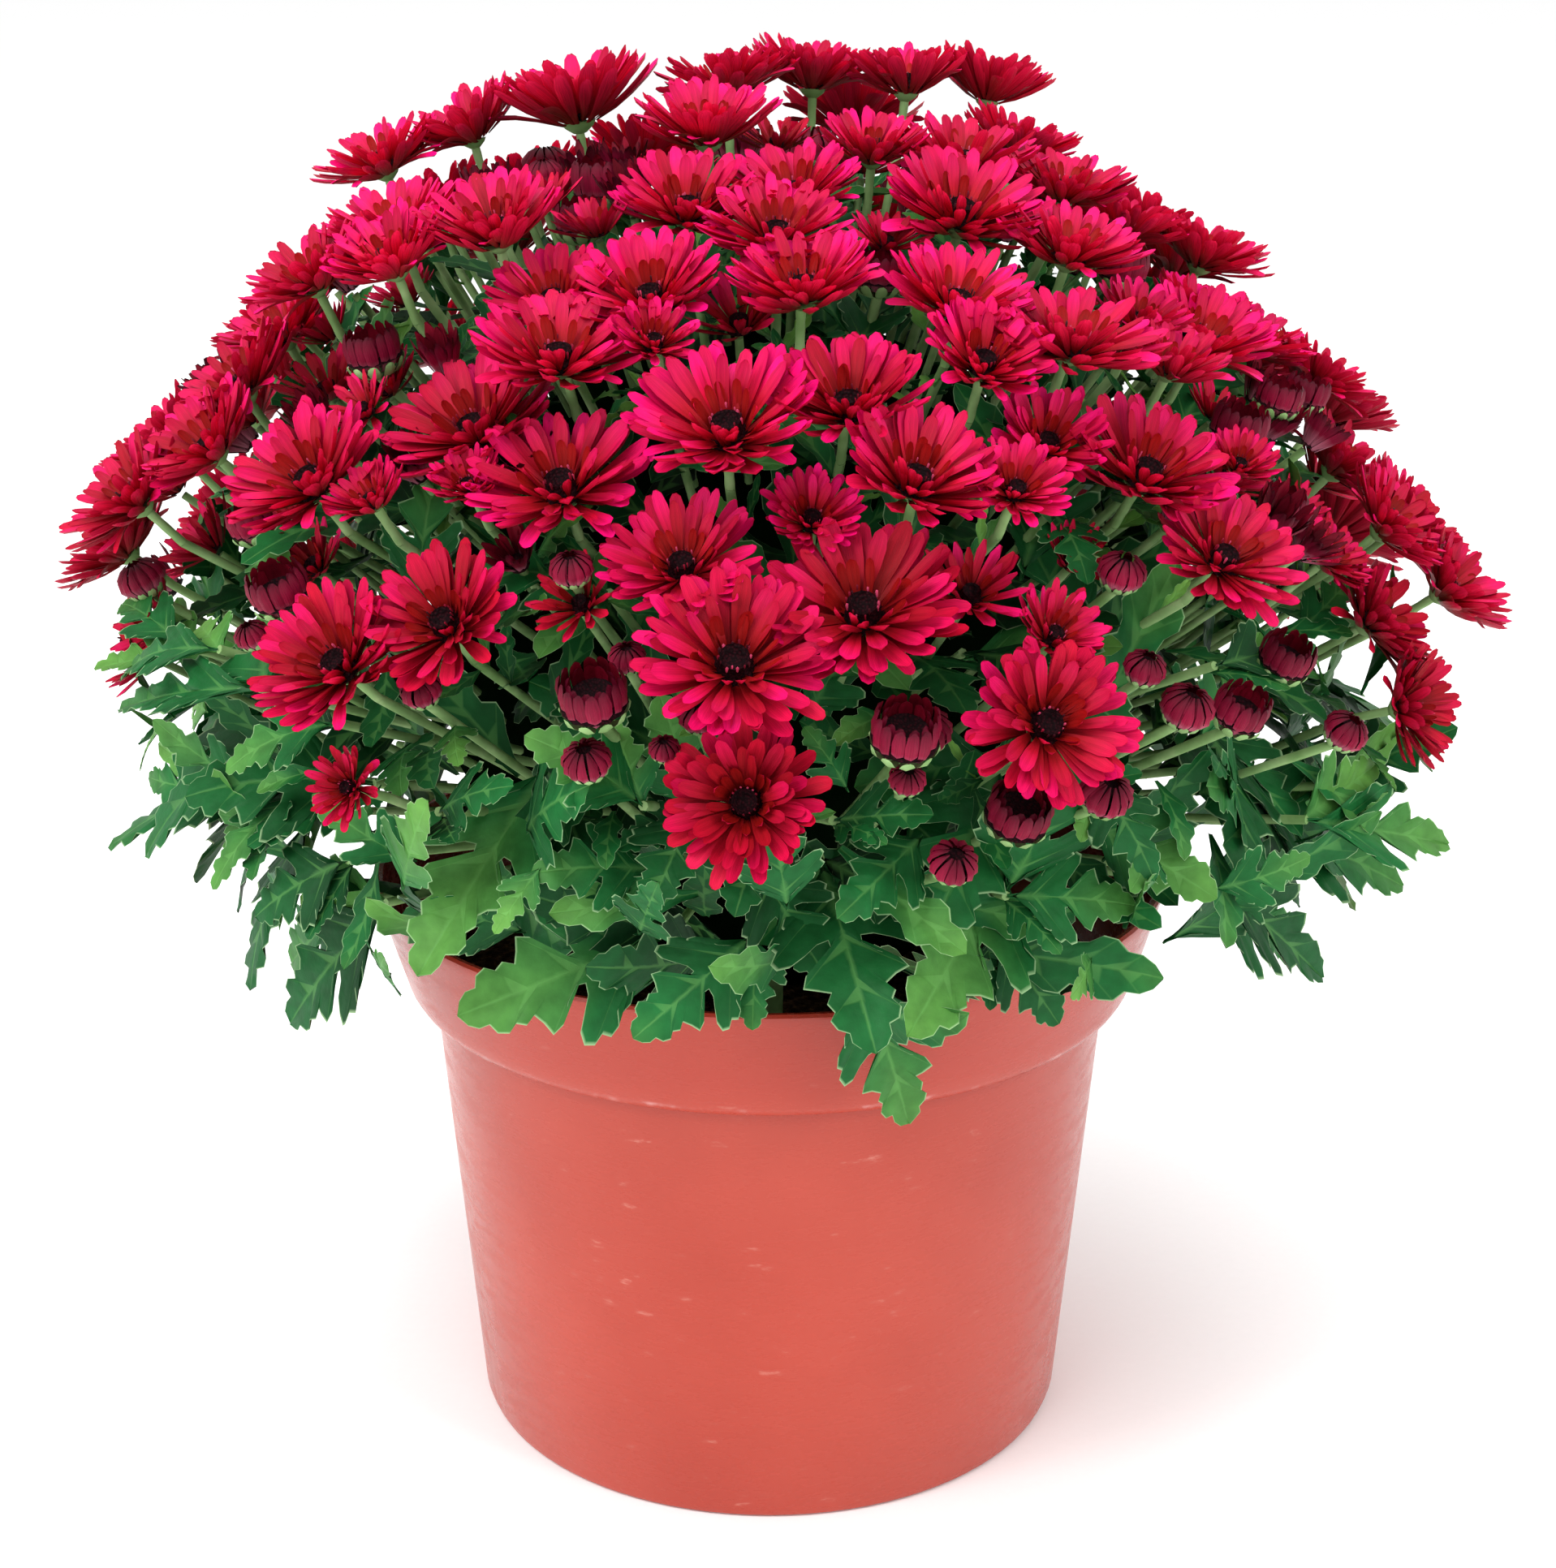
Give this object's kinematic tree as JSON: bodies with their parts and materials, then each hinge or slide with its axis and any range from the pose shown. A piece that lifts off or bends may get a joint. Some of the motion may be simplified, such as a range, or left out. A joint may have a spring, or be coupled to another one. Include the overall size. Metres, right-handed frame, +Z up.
{
  "type": "pot chrysanthemum",
  "caption": "Pot chrysanthemum: a domed bush of crimson flowers with dark eyes over lobed green leaves, in a round terracotta-coloured plastic pot.",
  "frame": {"origin": "middle of the flat face the pot stands on", "axes": "+Z up along the pot's axis, -Y towards the front"},
  "size_m": [0.3237, 0.3236, 0.3272],
  "materials": {
    "pot": "satin",
    "soil": "matte",
    "foliage": "matte",
    "petals": "matte"
  },
  "bodies": {
    "root": {"blooms_01": "petals", "blooms_02": "petals", "blooms_03": "petals", "blooms_04": "petals", "blooms_05": "petals", "blooms_06": "petals", "blooms_07": "petals", "blooms_08": "petals", "blooms_09": "petals", "blooms_10": "petals", "blooms_11": "petals", "blooms_12": "petals", "blooms_13": "petals", "blooms_14": "petals", "blooms_15": "petals", "blooms_16": "petals", "blooms_17": "petals", "blooms_18": "petals", "blooms_19": "petals", "blooms_20": "petals", "blooms_21": "petals", "blooms_22": "petals", "blooms_23": "petals", "blooms_24": "petals", "blooms_25": "petals", "blooms_26": "petals", "blooms_27": "petals", "blooms_28": "petals", "blooms_29": "petals", "blooms_30": "petals", "blooms_31": "petals", "blooms_32": "petals", "blooms_33": "petals", "blooms_34": "petals", "blooms_35": "petals", "blooms_36": "petals", "blooms_37": "petals", "blooms_38": "petals", "blooms_39": "petals", "blooms_40": "petals", "blooms_41": "petals", "blooms_42": "petals", "blooms_43": "petals", "blooms_44": "petals", "blooms_45": "petals", "blooms_46": "petals", "blooms_47": "petals", "blooms_48": "petals", "blooms_49": "petals", "blooms_50": "petals", "blooms_51": "petals", "blooms_52": "petals", "blooms_53": "petals", "cutting_1": "foliage", "cutting_2": "foliage", "cutting_3": "foliage", "cutting_4": "foliage", "cutting_5": "foliage", "pot": "pot", "soil": "soil"}
  },
  "joints": []
}
